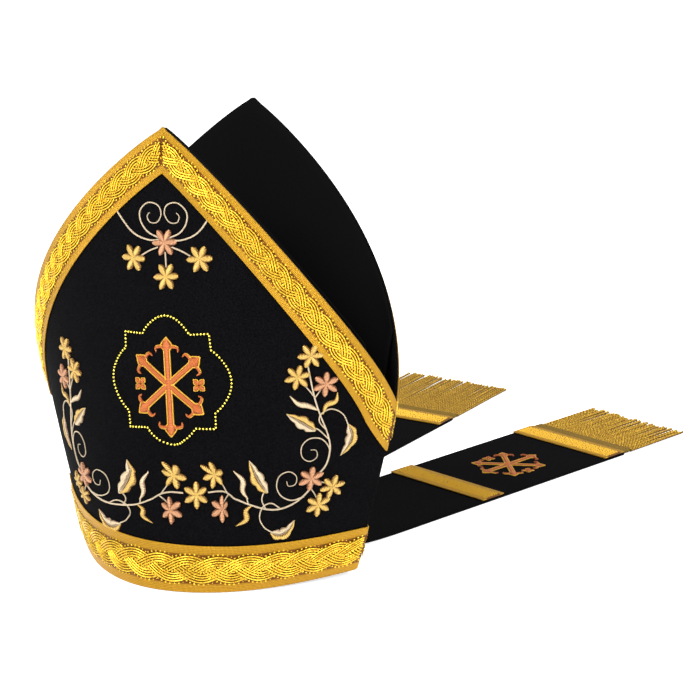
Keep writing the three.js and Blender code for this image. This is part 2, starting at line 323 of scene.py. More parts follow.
# Brushed patches a few centimetres wide, where the pile leans another way.
patches = add_grain(velvet_tree, 38.0, 2.0)
patch_shade = add_node(velvet_tree, "ShaderNodeMapRange", inputs={"To Min": 0.75, "To Max": 1.25},
                       links={"Value": patches})
leaning = add_node(velvet_tree, "ShaderNodeVectorMath", {"operation": "SCALE"},
                   links={0: tuft_colour, "Scale": patch_shade.outputs["Result"]})
velvet_tree.links.new(leaning.outputs["Vector"], velvet_shader.inputs["Base Color"])
add_bump(velvet_tree, velvet_shader, tufts, 0.5, 0.0004)

for side, side_name in ((FRONT, "front"), (BACK, "back")):
    rows = np.concatenate([np.linspace(0, seam_height, rows_below_seam),
                           np.linspace(seam_height, height, rows_above_seam)[1:]])
    shares = np.linspace(-1, 1, columns_across)
    z = np.repeat(rows[:, None], len(shares), 1)
    turn = shares[None, :] * edge_turn(rows)[:, None]
    points = crown_points(turn, z, side)
    points[..., 2] += rim_lift(points[..., 0], z)
    normals = crown_normals(turn, z, side)
    normals[0, :, 2] = 0
    shell, faces = cloth_shell(points, normals, -panel_thickness, 0)
    shell[:, 1] = side * np.maximum(side * shell[:, 1], seam_gap)
    shell[:, 2] = np.maximum(shell[:, 2], 0)
    if side == BACK:
        faces = faces[:, ::-1]
    panel = make_mesh(f"{side_name}_velvet_panel", metres(shell), faces.tolist(), velvet)
    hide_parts(f"{side_name}_panel")


# ---- Gusset ----
# Black satin set between the two gables: one half behind each, pulled straight down to a
# valley between the seam tops. It closes the crown over the wearer's head.
gusset_thickness = 1
gusset_inset = 3.4
gusset_half_width = 124
valley_height, valley_side_drop = 112, 8
valley_half_gap = 0.66
gusset_rows, gusset_columns = 25, 81

# Polyester satin, warp-faced and dyed black: smooth and plain, with a soft broad sheen.
satin, satin_tree, satin_shader = new_material(
    "warp_faced_satin_dyed_black", Roughness=0.75, IOR=1.5, Specular_IOR_Level=0.03, Anisotropic=0.3,
)
# Threads 0.3 mm apart.
satin_threads = add_grain(satin_tree, 2200.0, 1.0)
satin_colour = add_ramp(satin_tree, satin_threads, 0.0, "#040404", 1.0, "#090909")
satin_tree.links.new(satin_colour, satin_shader.inputs["Base Color"])
add_bump(satin_tree, satin_shader, satin_threads, 0.15, 0.0002)


def gable_height(x):
    shut = np.clip(np.abs(x) / seam_half_width, 0, 1) ** (1 / gable_closing)
    return seam_height + (height - seam_height) * (1 - shut) ** (1 / gable_fullness)


for side, side_name in ((FRONT, "front"), (BACK, "back")):
    x = np.linspace(-gusset_half_width, gusset_half_width, gusset_columns)
    top_z = gable_height(x)
    turn = np.arcsin(np.clip(x / half_width(top_z), -0.999, 0.999))
    face_y = side * crown_points(turn, top_z, side)[:, 1]
    slanted_inset = gusset_inset / np.abs(crown_normals(turn, top_z, side)[:, 1])
    top = np.stack([x, side * np.maximum(face_y - slanted_inset, 1.5), top_z - 0.3], -1)
    sag = (seam_height - valley_height) * (1 - (x / seam_half_width) ** 2)
    foot = np.stack([x, np.full_like(x, side * valley_half_gap), seam_height - valley_side_drop - sag], -1)
    share = np.linspace(0, 1, gusset_rows)[:, None, None]
    # The satin is drawn straight from the gable to the valley.
    points = top[None] * (1 - share) + foot[None] * share
    down = np.gradient(points, axis=0)
    across = np.gradient(points, axis=1)
    normals = np.cross(across, down)
    normals /= np.linalg.norm(normals, axis=-1, keepdims=True)
    if side * normals[gusset_rows // 2, gusset_columns // 2, 1] < 0:
        normals = -normals
    shell, faces = cloth_shell(points, normals, -gusset_thickness / 2, gusset_thickness / 2)
    shell[:, 1] = side * np.maximum(side * shell[:, 1], seam_gap)
    gusset = make_mesh(f"{side_name}_satin_gusset", metres(shell), faces.tolist(), satin)
    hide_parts(f"{side_name}_gusset")
    run = float(np.linalg.norm(np.diff((top + foot) / 2, axis=0), axis=1).sum())


# ---- Gold braid ----
# Woven metal-thread galloon, 30 mm wide: two ribbed selvages and between them a plait of three
# interlaced strands, each of parallel gold cords with a beaded cord on either edge.
# One length is sewn round the rim of each panel and another, mitred at the tip, round its gable.
braid_width = 30.5
ribbon_thickness = 1.0
ribbon_lift = 0.25
selvage_share = 0.165
strand_count = 3
cords_per_strand = 4
cord_spacing = 1.65
cord_radius = 0.54
plait_repeat = 57.0
bead_spacing = 2.3
bead_radius = 0.78
bead_sink = 0.35
crossing_height, crossing_rise = 0.55, 0.5
thread_step = 1.25
# Each cord is a half round of four sides, because its underside is never seen.
cord_sides, cord_arc = 4, math.pi * 1.15

# Gilt metal thread wound on a core: polished metal in thousands of fine round threads, so it
# glitters rather than mirrors. Its colour is painted bright yellow on the crowns, a painted
# highlight, and deep orange between them, a painted shade.
gilt, gilt_tree, gilt_shader = new_material("wound_gilt_metal_thread", Metallic=0.9, Roughness=0.34)
# Windings of the metal strip round its core, about 0.5 mm apart, drawn at 0.8 mm.
windings = add_grain(gilt_tree, 1300.0, 2.0)
# The windings' relief also sets the colour: painted highlight on their crowns, painted shade between.
gilt_colour = add_ramp(gilt_tree, windings, 0.32, "#A86A00", 0.66, "#FFDE48")
gilt_tree.links.new(gilt_colour, gilt_shader.inputs["Base Color"])
add_bump(gilt_tree, gilt_shader, windings, 0.55, 0.0002)

# A wave texture of scale 1 repeats at this distance, so a scale of this over a pitch gives the pitch.
wave_repeat = 0.314


def add_ridges(tree, uv, direction, pitch, inputs=None):
    """Parallel ridges a pitch apart in millimetres, along the braid (Y) or across it (X)."""
    wave = add_node(tree, "ShaderNodeTexWave", {"bands_direction": direction},
                    inputs={"Scale": wave_repeat / pitch, **(inputs or {})},
                    links={"Vector": uv.outputs["UV"]})
    return wave.outputs["Fac"]


# The ground of the braid: gilt weft over an orange silk warp, ribbed along its length and
# woven across it, darker and duller than the raised cords.
ground, ground_tree, ground_shader = new_material(
    "ribbed_gilt_galloon_ground", Metallic=0.7, Roughness=0.45,
)
ground_uv = add_node(ground_tree, "ShaderNodeUVMap", {"uv_map": "cloth_mm"})
# Ribs 1.1 mm apart along the braid, and weft threads 0.7 mm apart across it, drawn at 0.8 mm.
ribs = add_ridges(ground_tree, ground_uv, "Y", 1.1)
wefts = add_ridges(ground_tree, ground_uv, "X", 0.8, {"Distortion": 0.6, "Detail Scale": 2.0})
rib_relief = add_node(ground_tree, "ShaderNodeMath", {"operation": "MULTIPLY_ADD"},
                      inputs={1: 0.6}, links={0: ribs, 2: wefts})
ground_colour = add_ramp(ground_tree, rib_relief.outputs["Value"], 0.25, "#7C560A", 1.0, "#C2921A")
# Between the selvages the ground is painted dark orange-brown: painted shade in the hollows of the plait.
ground_split = add_node(ground_tree, "ShaderNodeSeparateXYZ", links={"Vector": ground_uv.outputs["UV"]})
from_middle = add_node(ground_tree, "ShaderNodeMath", {"operation": "SUBTRACT"},
                       inputs={1: braid_width / 2}, links={0: ground_split.outputs["Y"]})
off_middle = add_node(ground_tree, "ShaderNodeMath", {"operation": "ABSOLUTE"},
                      links={0: from_middle.outputs["Value"]})
plait_shade_share = add_node(ground_tree, "ShaderNodeMapRange",
                     inputs={"From Min": 10.6, "From Max": 9.4, "To Min": 0.0, "To Max": 1.0},
                     links={"Value": off_middle.outputs["Value"]})
plait_shade_mix = add_node(ground_tree, "ShaderNodeMix", {"data_type": "RGBA"}, inputs={7: linear("#6E4004")},
                      links={0: plait_shade_share.outputs["Result"], 6: ground_colour})
ground_tree.links.new(plait_shade_mix.outputs[2], ground_shader.inputs["Base Color"])
add_bump(ground_tree, ground_shader, rib_relief.outputs["Value"], 0.8, 0.0003)


def running_length(points):
    steps = np.linalg.norm(np.diff(points, axis=0), axis=1)
    return np.concatenate([[0], np.cumsum(steps)])


def join_parts(parts):
    """Joins (points, faces) pairs into one pair."""
    points, faces, first = [], [], 0
    for part_points, part_faces in parts:
        points.append(part_points)
        faces.append(part_faces + first)
        first += len(part_points)
    return np.concatenate(points), np.concatenate(faces)


def tube(path, ups, radius, sides=5, arc=math.tau):
    """A thread along a path. ups point away from the cloth. An arc under a full turn leaves
    the hidden underside open."""
    along = np.gradient(path, axis=0)
    along /= np.linalg.norm(along, axis=1, keepdims=True) + 1e-9
    out = ups - (ups * along).sum(1, keepdims=True) * along
    out /= np.linalg.norm(out, axis=1, keepdims=True) + 1e-9
    beside = np.cross(along, out)
    closed = arc > 6.2
    angles = np.linspace(-arc / 2, arc / 2, sides + 1)[: sides + (0 if closed else 1)]
    radii = np.broadcast_to(np.asarray(radius, float), (len(path),))[:, None]
    rings = [path + radii * (out * math.cos(a) + beside * math.sin(a)) for a in angles]
    points = np.stack(rings, 1)
    if closed:
        points = np.concatenate([points, points[:, :1]], 1)
    count, around = points.shape[:2]
    return points.reshape(-1, 3), grid_faces(count, around)


def beads(centres, ups, radius, flat=0.7):
    """Small eight-sided knots of thread, one at each centre."""
    across = np.cross(ups, np.array([0.31, 0.52, 0.79]))
    across /= np.linalg.norm(across, axis=1, keepdims=True)
    other = np.cross(ups, across)
    corners = [across, other, -across, -other]
    points = np.stack([centres + radius * c for c in corners] + [centres + radius * flat * ups], 1)
    base = 5 * np.arange(len(centres))[:, None]
    triangles = [base + np.array([[i, (i + 1) % 4, 4]]) for i in range(4)]
    return points.reshape(-1, 3), np.concatenate(triangles)


def plait_parts(length, width):
    """The cords and beads of a plait: distances along the braid, across it from its outer edge
    and above it. A narrower braid has one cord fewer in each strand."""
    repeat = plait_repeat * width / braid_width
    cords = cords_per_strand if width == braid_width else cords_per_strand - 1
    plait_half = width * (1 - 2 * selvage_share) / 2
    strand_half = (cords - 1) / 2 * cord_spacing
    sway = plait_half - strand_half - cord_spacing
    s = np.arange(-40, length + 40, thread_step)
    pick = np.arange(len(s))
    tubes, knots = [], []
    for strand in range(strand_count):
        phase = math.tau * (s / repeat + strand / strand_count)
        centre = width / 2 + sway * np.sin(phase)
        slope = sway * math.tau / repeat * np.cos(phase)
        lift = ribbon_lift + ribbon_thickness + crossing_height + crossing_rise * np.sin(2 * phase)
        lean = 1 / np.sqrt(1 + slope ** 2)
        for cord in range(cords):
            aside = (cord - (cords - 1) / 2) * cord_spacing
            tubes.append((s - aside * slope * lean, centre + aside * lean, lift))
        run = running_length(np.stack([s, centre], 1))
        spots = np.interp(np.arange(0, run[-1], bead_spacing), run, pick)
        for edge in (-1, 1):
            aside = edge * (strand_half + cord_spacing)
            lines = (s - aside * slope * lean, centre + aside * lean, lift - bead_sink)
            knots.append(tuple(np.interp(spots, pick, line) for line in lines))
    return tubes, knots


def place_threads(tubes, knots, to_surface):
    """The cords and the beads of a plait laid on a surface, each kind joined in one part.
    to_surface gives points, their normals and whether each is kept."""
    cords, bead_rows = [], []
    for s, w, h in tubes:
        points, normals, kept = to_surface(s, w, h)
        changes = np.flatnonzero(np.diff(np.concatenate([[0], kept.astype(int), [0]])))
        for first, last in zip(changes[::2], changes[1::2]):
            if last - first >= 2:
                path, ups = points[first:last], normals[first:last]
                cords.append(tube(path, ups, cord_radius, cord_sides, cord_arc))
    for s, w, h in knots:
        points, normals, kept = to_surface(s, w, h)
        bead_rows.append(beads(points[kept], normals[kept], bead_radius))
    return join_parts(cords), join_parts(bead_rows)


def give_uv(piece, shell_s, shell_w):
    """Writes millimetre coordinates for each corner of a piece."""
    layer = piece.data.uv_layers.new(name="cloth_mm")
    corners = np.zeros(len(piece.data.loops), dtype=int)
    piece.data.loops.foreach_get("vertex_index", corners)
    uv = np.stack([shell_s[corners], shell_w[corners]], -1).astype(np.float32)
    layer.data.foreach_set("uv", uv.ravel())


def shell_coordinates(values, edge_steps=3):
    """A grid of values for each of a cloth_shell's points, in the order that it makes them."""
    ring_rows, ring_columns = edge_ring(*values.shape)
    parts = [values.ravel(), values.ravel()] + [values[ring_rows, ring_columns]] * edge_steps
    return np.concatenate(parts)


def add_braid(name, runs):
    """A braid of one or two runs, as two pieces: its woven ground and its raised plait. Each
    run has its length, its width, the grid of its ground and the surface that it lies on."""
    shells, along, across, cords, bead_rows = [], [], [], [], []
    for length, width, s, w, to_surface in runs:
        points, normals, _ = to_surface(s.ravel(), w.ravel(), np.zeros(s.size))
        shape = (*s.shape, 3)
        shells.append(cloth_shell(points.reshape(shape), normals.reshape(shape),
                                  ribbon_lift, ribbon_lift + ribbon_thickness))
        along.append(shell_coordinates(s))
        across.append(shell_coordinates(w * braid_width / width))
        run_cords, run_beads = place_threads(*plait_parts(length, width), to_surface)
        cords.append(run_cords)
        bead_rows.append(run_beads)
    points, faces = join_parts(shells)
    strip = make_mesh(f"{name}_ground", metres(points), faces.tolist(), ground)
    give_uv(strip, np.concatenate(along), np.concatenate(across))
    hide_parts(name)
    cord_points, cord_faces = join_parts(cords)
    bead_points, bead_faces = join_parts(bead_rows)
    faces = cord_faces.tolist() + (bead_faces + len(cord_points)).tolist()
    points = np.concatenate([cord_points, bead_points])
    make_mesh(f"{name}_plait", metres(points), faces, gilt)


# The rim braid runs round each panel from seam to seam, its foot just above the rim.
band_foot = 0.6
seam_margin = 0.4
ground_step = 2.5

# The distance round the panel, at every height, as a table that turns cloth into crown.
table_margin = 4
table_heights = np.linspace(-table_margin, height + table_margin, 155)
table_turns = np.linspace(-1.545, 1.545, 361)
table_runs = []
for z in table_heights:
    section = crown_points(table_turns, np.full_like(table_turns, z), FRONT)
    run = running_length(section)
    table_runs.append(run - run[len(run) // 2])
table_runs = np.array(table_runs)
even_shares = np.linspace(-1, 1, 721)
share_turns = np.array([np.interp(even_shares, run / run[-1], table_turns) for run in table_runs])


def table_row(z):
    """The row of the tables at or just below a height, and the share of the way to the next."""
    row = (z - table_heights[0]) / (table_heights[1] - table_heights[0])
    row = np.clip(row, 0, len(table_heights) - 1.001)
    return row.astype(int), row - row.astype(int)


def turn_from_cloth(u, z):
    """The turn at a distance u round the panel from its middle, at the height z."""
    row, up = table_row(z)
    half_run = table_runs[row, -1] * (1 - up) + table_runs[row + 1, -1] * up
    share = np.clip(u / half_run, -1, 1)
    # The turns against the share of the half run, read between two columns and two rows.
    column = (share + 1) / 2 * (share_turns.shape[1] - 1)
    left = np.clip(column.astype(int), 0, share_turns.shape[1] - 2)
    over = column - left
    lower = share_turns[row, left] * (1 - over) + share_turns[row, left + 1] * over
    upper = share_turns[row + 1, left] * (1 - over) + share_turns[row + 1, left + 1] * over
    return lower * (1 - up) + upper * up


def half_run_at(z):
    """The distance round half the panel at a height."""
    return np.interp(z, table_heights, table_runs[:, -1])


def on_crown(u, z, lift, side=FRONT):
    """Points at a distance u round a panel, a height z and a lift off the cloth, with normals."""
    u, z, lift = np.broadcast_arrays(np.asarray(u, float), np.asarray(z, float), np.asarray(lift, float))
    turn = turn_from_cloth(u, z)
    normals = crown_normals(turn, z, side)
    points = crown_points(turn, z, side)
    points[..., 2] += rim_lift(points[..., 0], z)
    return points + normals * lift[..., None], normals


for side, side_name in ((FRONT, "front"), (BACK, "back")):
    rim_half_run = float(half_run_at(band_foot))
    band_half_run = float(half_run_at(band_foot + braid_width))

    def round_rim(s, w, h, side=side):
        """s runs from one seam to the other, stretched so that each row ends at the seams."""
        row_half = rim_half_run + (band_half_run - rim_half_run) * w / braid_width
        u = (s - rim_half_run) / rim_half_run * row_half
        points, normals = on_crown(np.clip(u, -row_half, row_half), band_foot + w, h, side)
        return points, normals, np.abs(u) < row_half - 0.6

    ground_ends = seam_margin, 2 * rim_half_run - seam_margin
    ground_count = int((ground_ends[1] - ground_ends[0]) / ground_step)
    s, w = np.meshgrid(np.linspace(*ground_ends, ground_count),
                       np.linspace(0, braid_width, 15), indexing="ij")
    add_braid(f"{side_name}_rim_braid", [(2 * rim_half_run, braid_width, s, w, round_rim)])

# The gable braid runs from each seam top to the tip, where its two ends are mitred together.
# It is a narrower length of the same pattern, and it is cut off along the side seams.
gable_braid_width = 23.5
back_braid_inset = 1.6


def rows_at(heights):
    """The table of distances round the panel, read at any heights."""
    row, up = table_row(heights)
    return table_runs[row] * (1 - up[:, None]) + table_runs[row + 1] * up[:, None]


def gable_path():
    """The gable's right edge laid flat: distances round the panel and heights, evenly spaced,
    with the inward direction at each, and straight run-outs past both ends."""
    z = seam_height + (height - seam_height) * np.linspace(0, 1, 600)
    u = np.array([np.interp(edge_turn(h), table_turns, row) for h, row in zip(z, rows_at(z))])
    run = running_length(np.stack([u, z], 1))
    s = np.linspace(0, run[-1], 240)
    path = np.stack([np.interp(s, run, u), np.interp(s, run, z)], 1)
    tangent = np.gradient(path, axis=0)
    for _ in range(30):
        tangent[1:-1] = (tangent[:-2] + tangent[1:-1] + tangent[2:]) / 3
    tangent[:6], tangent[-14:] = tangent[6], tangent[-15]
    tangent /= np.linalg.norm(tangent, axis=1, keepdims=True)
    inward = np.stack([-tangent[:, 1], tangent[:, 0]], 1)
    return s, path, tangent, inward


path_s, path_uz, path_tangent, path_inward = gable_path()
gable_length = path_s[-1]


def gable_cloth(s, w):
    """Distance round the panel and height, for a distance along the braid and one across it."""
    inside = np.clip(s, 0, gable_length)
    beyond = s - inside
    values = []
    for k in (0, 1):
        base = np.interp(inside, path_s, path_uz[:, k])
        base = base + beyond * np.interp(inside, path_s, path_tangent[:, k])
        values.append(base + w * np.interp(inside, path_s, path_inward[:, k]))
    # Beyond the seam's top the braid swings outward, so that the seam cuts it off.
    past_seam = np.clip(-beyond, 0, None) * (s < 0)
    values[0] = values[0] + 0.05 * past_seam + 0.0035 * past_seam ** 2
    return values


for side, side_name in ((FRONT, "front"), (BACK, "back")):
    runs = []
    for hand in (1, -1):
        def round_gable(s, w, h, side=side, hand=hand):
            # The back braid is sewn a little further in, so it is hidden from the front.
            u, z = gable_cloth(s, w + (back_braid_inset if side == BACK else 0))
            at_seam = half_run_at(z)
            points, normals = on_crown(np.clip(u, seam_gap, at_seam - 0.3), z, h, side)
            mirror = np.array([hand, 1, 1])
            kept = (u > 0.7) & (u < at_seam - 0.9) & (z < height + 0.5)
            return points * mirror, normals * mirror, kept

        # Each row of the ground begins at the side seam and ends on the panel's middle line.
        w_values = np.linspace(0, gable_braid_width, 13)
        s_fine = np.arange(-60, gable_length + 60, 0.5)
        s_rows = []
        for w in w_values:
            u, z = gable_cloth(s_fine, np.full_like(s_fine, w))
            spots = s_fine[(u > 0) & (u < half_run_at(z))]
            s_rows.append(np.linspace(spots[0], spots[-1], 110))
        s = np.array(s_rows).T
        w = np.repeat(w_values[None], len(s), 0)
        runs.append((gable_length, gable_braid_width, s, w, round_gable))
    add_braid(f"{side_name}_gable_braid", runs)


# ---- Front embroidery ----
# Worked by hand on the front panel over a felt padding: flowers, leaves and scrolls in silk and
# gilt thread, round a beaded medallion that holds a cross. Every outline is given once, on the
# right of the embroidery's own middle line, and sewn again as its mirror image.
embroidery_shift = 8
embroidery_rise = 1.5
embroidery_slant = math.radians(5.6)
embroidery_pivot = 134
garland_places = [-95, -84, -70, -50, -38, -18, 0, 20, 38, 55, 75]
garland_shifts = [0, 3, 10, 20, 21, 15, 15, 12, 1, 1, 0]
top_spray_shift = 3.5
low_left_rise = 8


def sewn_on_front(u, v, lift):
    """Embroidery places: u from the middle line, v above the rim, on the slanted cloth grid."""
    # The garland's middle hangs a little to the right of the line through the cross.
    low = np.clip((98 - v) / 22, 0, 1)
    high = np.clip((v - 170) / 40, 0, 1)
    low_left = np.clip((-u - 20) / 40, 0, 1) * np.clip((60 - v) / 22, 0, 1)
    u = u + low * np.interp(u, garland_places, garland_shifts) + high * top_spray_shift
    up = v + low_left * low_left_rise - embroidery_pivot
    lean, stand = math.sin(embroidery_slant), math.cos(embroidery_slant)
    turned_u = u * stand - up * lean + embroidery_shift
    turned_z = up * stand + u * lean + embroidery_pivot + embroidery_rise
    points, _ = on_crown(turned_u, turned_z, lift)
    return points


def thread_material(name, hex_dark, hex_light, metallic, roughness):
    """Satin-stitched thread: fine parallel threads across each petal. Their colour is painted light
    along their crowns, a painted highlight, and dark between the threads and in the hollows, a
    painted shade."""
    material, tree, shader = new_material(name, Metallic=metallic, Roughness=roughness, IOR=1.5)
    uv = add_node(tree, "ShaderNodeUVMap", {"uv_map": "cloth_mm"})
    # Threads 0.45 mm apart, lying across the length of the shape, drawn 1 mm apart.
    threads = add_ridges(tree, uv, "X", 1.0, {"Distortion": 1.2, "Detail": 1.0})
    # Shade changes over a few millimetres where the needle changed thread.
    patch = add_node(tree, "ShaderNodeTexNoise", inputs={"Scale": 1.1, "Detail": 3.0},
                     links={"Vector": uv.outputs["UV"]})
    # The thread dips under at the edges of a shape and is in shade there.
    split = add_node(tree, "ShaderNodeSeparateXYZ", links={"Vector": uv.outputs["UV"]})
    aside = add_node(tree, "ShaderNodeMath", {"operation": "ABSOLUTE"}, links={0: split.outputs["Y"]})
    crown_share = add_node(tree, "ShaderNodeMapRange",
                           inputs={"From Min": 2.5, "From Max": 0.8, "To Min": -0.5, "To Max": 0.14},
                           links={"Value": aside.outputs["Value"]})
    shaded = add_node(tree, "ShaderNodeMath", {"operation": "ADD"},
                      links={0: crown_share.outputs["Result"], 1: patch.outputs["Fac"]})
    # The thread ridges also paint the colour: painted highlight on their crowns, painted shade between.
    blend = add_node(tree, "ShaderNodeMath", {"operation": "MULTIPLY_ADD"}, inputs={1: 0.5},
                     links={0: threads, 2: shaded.outputs["Value"]})
    tone = add_ramp(tree, blend.outputs["Value"], 0.42, hex_dark, 0.92, hex_light)
    tree.links.new(tone, shader.inputs["Base Color"])
    add_bump(tree, shader, threads, 0.8, 0.0003)
    return material


gold_silk = thread_material("gilt_and_silk_satin_stitch", "#5E3608", "#D2AE58", 0.35, 0.42)
rose_silk = thread_material("rose_gold_satin_stitch", "#5A2E12", "#C69068", 0.35, 0.42)
silver_silk = thread_material("pale_silver_satin_stitch", "#70523A", "#D2C09C", 0.3, 0.45)
stem_cord = thread_material("couched_silver_cord", "#7A6450", "#CDBB9E", 0.3, 0.45)


class Stitching:
    """Collects stitched shapes of one thread, to be made as a single joined piece."""

    def __init__(self, to_surface):
        self.to_surface = to_surface
        self.parts = []

    def satin(self, spine, widths, height_mm, ridge=0.12, around=9, steps=22, mirror=1,
              sides=(-1, 1), scallops=0):
        """A padded shape about a spine of (u, v) points, widths across it at even shares.
        sides picks a half of the shape. Scallops notch its outer edge."""
        spine = smooth_path(spine, steps)
        spine[:, 0] *= mirror
        run = running_length(spine)
        share = run / run[-1]
        width = np.interp(share, np.linspace(0, 1, len(widths)), widths)
        if scallops:
            width = width * (0.78 + 0.3 * np.abs(np.sin(math.pi * scallops * share)))
        along = np.gradient(spine, axis=0)
        along /= np.linalg.norm(along, axis=1, keepdims=True)
        aside = np.stack([-along[:, 1], along[:, 0]], 1)
        across = np.linspace(-1, 1, around)
        reach = (sides[0] + (across + 1) / 2 * (sides[1] - sides[0])) * mirror
        flat = spine[:, None] + aside[:, None] * (reach[None, :, None] * width[:, None, None] / 2)
        dome = np.sqrt(np.clip(1 - across ** 2, 0, 1))[None] * height_mm
        dome = dome * np.clip(width / max(width.max(), 1e-6), 0, 1)[:, None] ** 0.5
        dome = dome - ridge * (np.abs(across)[None] < 0.1) * (width[:, None] > 2)
        dome = dome + 0.06 * (np.arange(len(spine)) % 2)[:, None] * (np.abs(across)[None] < 0.95)
        dome[:, 0] = dome[:, -1] = -0.25
        points = self.to_surface(flat[..., 0].ravel(), flat[..., 1].ravel(), dome.ravel() + 0.1)
        faces = grid_faces(len(spine), around, flip=mirror < 0)
        uv = np.stack([np.repeat(run[:, None] + 13.7 * len(self.parts), around, 1),
                       across[None] * 2.5 + 0 * width[:, None]], -1).reshape(-1, 2)
        self.parts.append((points, faces, uv))

    def cord(self, spine, radius, mirror=1, steps=40, taper=False):
        """A round cord couched along a smooth line."""
        spine = smooth_path(spine, steps)
        spine[:, 0] *= mirror
        run = running_length(spine)
        centre = self.to_surface(spine[:, 0], spine[:, 1], np.full(len(spine), radius * 0.6))
        above = self.to_surface(spine[:, 0], spine[:, 1], np.full(len(spine), radius * 0.6 + 1))
        radii = radius * (1 - 0.45 * run / run[-1]) if taper else radius
        points, faces = tube(centre, above - centre, radii, 6)
        uv = np.stack([np.repeat(run[:, None] * 1.5, 7, 1), np.full((len(spine), 7), 0.8)], -1)
        self.parts.append((points, faces, uv.reshape(-1, 2)))

    def make(self, name, material, slot):
        points, faces = join_parts([(p, f) for p, f, _ in self.parts])
        uv = np.concatenate([part[2] for part in self.parts])
        piece = make_mesh(name, metres(points), faces.tolist(), material)
        give_uv(piece, uv[:, 0], uv[:, 1])
        return piece


def smooth_path(points, steps):
    """A smooth line through a few (u, v) points, evenly stepped."""
    points = np.asarray(points, float)
    if len(points) == 2:
        return points[0] + (points[1] - points[0]) * np.linspace(0, 1, steps)[:, None]
    ends = np.concatenate([[2 * points[0] - points[1]], points, [2 * points[-1] - points[-2]]])
    line = []
    for i in range(len(points) - 1):
        a, b, c, d = ends[i:i + 4]
        t = np.linspace(0, 1, 16, endpoint=False)[:, None]
        line.append(0.5 * (2 * b + (c - a) * t + (2 * a - 5 * b + 4 * c - d) * t ** 2
                           + (3 * b - a - 3 * c + d) * t ** 3))
    line = np.concatenate([*line, points[-1:]])
    run = running_length(line)
    even = np.linspace(0, run[-1], steps)
    return np.stack([np.interp(even, run, line[:, k]) for k in (0, 1)], 1)


petal_count, petal_length, petal_width, petal_height = 6, 9.1, 4.8, 1.7


def sew_flower(stitching, centre, mirror=1, turn=0.0, size=1.0):
    """Six padded petals round a point."""
    for k in range(petal_count):
        angle = turn + math.tau * k / petal_count
        way = np.array([math.cos(angle), math.sin(angle)])
        root, tip = np.array(centre) + way * 0.2, np.array(centre) + way * petal_length * size
        stitching.satin([root, tip], [1.2, 3.2 * size, 4.9 * size, petal_width * size, 4.4 * size, 1.4],
                        petal_height, ridge=0.1, mirror=mirror)


def sew_leaf(spine, width, mirror, silver_side):
    """A leaf of two scalloped halves, silver on one side of its vein and gold on the other."""
    shares = [width * 0.2, width * 0.85, width * 1.1, width * 0.9, width * 0.5, 0.5]
    for stitching, side in ((silver, silver_side), (gold, -silver_side)):
        stitching.satin(spine, shares, 1.1, ridge=0, around=7, steps=34, mirror=mirror,
                        sides=(0.05 * side, side), scallops=3)
    stems.cord(spine, 0.32, mirror, steps=20, taper=True)


gold = Stitching(sewn_on_front)
rose = Stitching(sewn_on_front)
silver = Stitching(sewn_on_front)
stems = Stitching(sewn_on_front)

# The top spray: four flowers under two scrolls, hung from two long arms.
sew_flower(rose, (0, 226), turn=0.05)
sew_flower(gold, (0, 204), turn=0.05)
for mirror in (1, -1):
    sew_flower(gold, (24.5, 215.5), mirror, turn=0.05)
    stems.cord([(2, 228), (12, 227.5), (24, 232), (34, 243), (37, 248)], 0.62, mirror)
    stems.cord([(5, 223), (12, 220.5), (18, 217.5)], 0.55, mirror)
    scroll = [(4, 229), (12, 232.5), (17, 239), (17.2, 246), (11, 251.3), (3.6, 250), (1.2, 244.5),
              (4.5, 239), (10, 238.8), (12, 242.5), (10, 245)]
    stems.cord(scroll, 0.62, mirror, steps=60, taper=True)
stems.cord([(0, 220), (0, 210)], 0.55)

# The lower garland and the sprays that climb each side.
sew_flower(gold, (0, 62), turn=0.5)
garland = [(9, 63.5), (18, 64), (28, 62.5), (38, 58.5), (48, 53), (58, 48.5), (68, 47), (78, 49.5),
           (87, 56), (94, 66), (100, 73), (103, 84), (102, 95), (98.5, 108), (95.5, 122), (93, 144)]
branches = [
    [(28, 62.5), (22, 67.5), (16, 72)],
    [(30, 61.5), (24, 58.5), (19, 55)],
    [(103, 90), (97, 98), (94, 100)],
    [(95.5, 122), (90, 130), (85, 134)],
    [(95.8, 121), (99, 125), (101, 128)],
    [(58, 48.5), (56, 54), (56.5, 58), (59, 62)],
    [(47, 53.5), (46.5, 57), (47, 58)],
    [(92, 62), (97, 60), (100, 59.5)],
    [(89, 57), (91, 53), (92, 50)],
    [(101.8, 97), (97.5, 104), (99, 109.5), (106, 112), (113, 107), (116, 98)],
    [(68, 47), (62, 52), (56, 50), (53.5, 43), (56, 36), (61, 31.5)],
]
scrolls = [
    [(101.5, 76), (102.5, 84), (98, 91.5), (90.5, 93), (85, 88.5), (84.6, 81), (89, 77), (94, 79),
     (94, 84), (90.5, 85)],
    [(84, 52.5), (76, 51.5), (69, 56), (66.5, 63), (69, 70), (75.5, 72), (80, 68), (79, 62.5),
     (74.5, 62), (73.5, 65.5)],
]
# Thread, place, turn in radians and size of each flower.
flowers = [
    (gold, (15, 75), 0.25, 1), (rose, (19, 52), 0.45, 1), (rose, (89.5, 64.5), 0.3, 0.94),
    (gold, (103, 55.5), 0.1, 0.92), (gold, (93, 44.5), 0.35, 0.94), (gold, (95.5, 149.5), 0, 0.92),
    (gold, (86, 136), 0.2, 0.92), (rose, (103.5, 129.5), 0.35, 0.92),
]
# Vein from root to tip, width and which side of the vein is silver, of each leaf.
leaves = [
    ([(94.5, 98), (87, 104.5), (77, 112)], 9.0, 1),
    ([(116, 99), (118, 91), (115.5, 84), (109.5, 77)], 8.0, -1),
    ([(60, 59.5), (54.5, 69), (50, 83)], 9.0, -1),
    ([(60, 31.5), (66, 28.6), (72, 30.5), (77, 37)], 8.4, 1),
]
